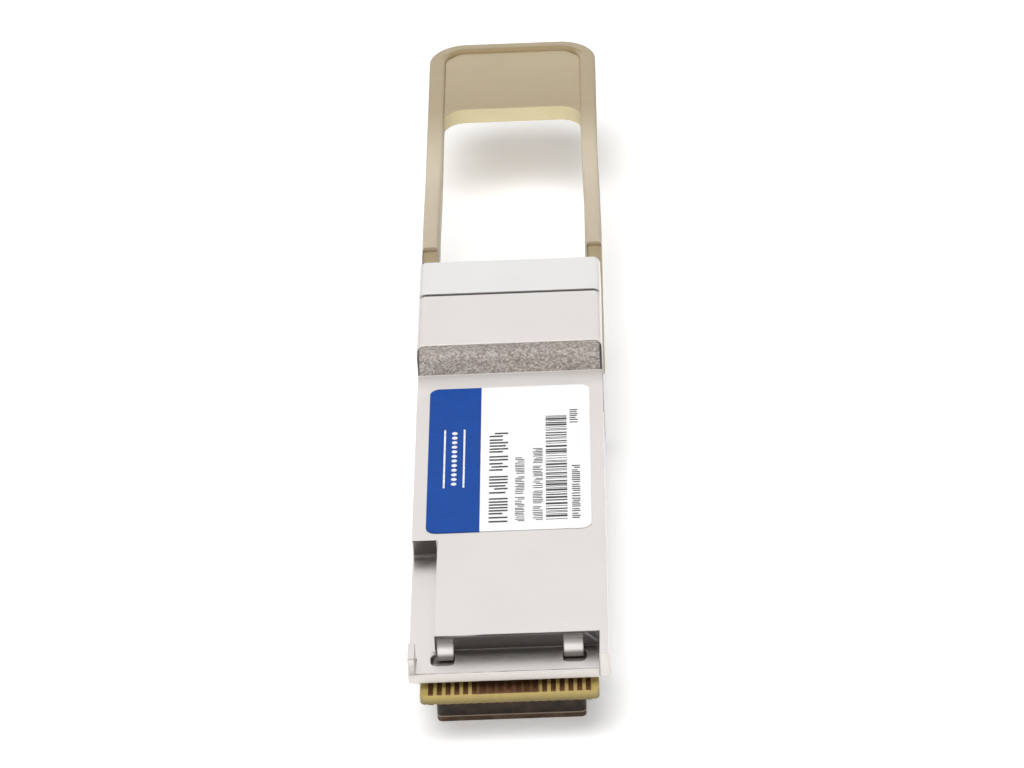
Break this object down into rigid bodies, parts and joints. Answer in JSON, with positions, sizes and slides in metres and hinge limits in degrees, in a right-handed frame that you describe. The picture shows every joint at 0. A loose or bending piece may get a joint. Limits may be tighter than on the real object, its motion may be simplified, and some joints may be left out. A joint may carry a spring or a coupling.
{
  "type": "optical transceiver module",
  "caption": "Pluggable four-lane optical transceiver module with a card edge, an EMI gasket, a multi-fibre port and a sprung pull tab that draws its latch.",
  "frame": {"origin": "middle of the footprint, on the surface that the head stands on", "axes": "+Y from the card edge to the pull tab, +Z out of the label side, +X to the right seen from the card edge"},
  "size_m": [0.0188, 0.124, 0.0121],
  "materials": {
    "nickel_cast": "satin nickel plate on die-cast zinc",
    "nickel_cover": "satin nickel plate on die-cast zinc",
    "gasket_fabric": "woven nickel-copper fabric over foam",
    "label_print": "printed film label",
    "screw_steel": "plain",
    "slider_steel": "satin nickel plate",
    "tab_plastic": "moulded, fine texture",
    "spring_steel": "plain",
    "board_laminate": "laminate with solder mask",
    "pad_gold": "gold plate",
    "chip_plastic": "moulded package",
    "thermal_gap_pad": "soft gap pad",
    "inductor_ferrite": "moulded ferrite",
    "capacitor_ceramic": "ceramic with tinned ends",
    "die_semiconductor": "bare die",
    "lens_plastic": "clear amber",
    "ribbon_coating": "aqua coating",
    "boot_rubber": "matte",
    "ferrule_plastic": "glass-filled, polished face",
    "pin_steel": "polished",
    "receptacle_plastic": "moulded"
  },
  "bodies": {
    "housing": {"base_shell": "nickel_cast", "label_cover": "nickel_cover", "emi_gasket": "gasket_fabric", "label": "label_print", "housing_screws": "screw_steel", "return_spring_left": "spring_steel", "return_spring_right": "spring_steel", "main_board": "board_laminate", "contact_pads_top": "pad_gold", "contact_pads_bottom": "pad_gold", "transmit_retimer": "chip_plastic", "receive_retimer": "chip_plastic", "thermal_pads": "thermal_gap_pad", "laser_driver": "chip_plastic", "receiver_amplifier": "chip_plastic", "microcontroller": "chip_plastic", "voltage_regulator": "chip_plastic", "power_inductors": "inductor_ferrite", "capacitors": "capacitor_ceramic", "laser_array": "die_semiconductor", "photodiode_array": "die_semiconductor", "lens_block": "lens_plastic", "fibre_ribbon": "ribbon_coating", "ferrule_boot": "boot_rubber", "pin_keeper": "pin_steel", "ferrule": "ferrule_plastic", "guide_pins": "pin_steel", "port_receptacle": "receptacle_plastic"},
    "puller": {"latch_slider": "slider_steel", "pull_tab": "tab_plastic"}
  },
  "joints": [
    {"name": "pull_slide", "type": "slide", "parent": "housing", "child": "puller", "axis": [0, 1, 0], "range_m": [0, 0.0018], "stiffness_N_per_m": 1000, "springref_m": -0.002, "deforming": ["return_spring_left", "return_spring_right"]}
  ]
}
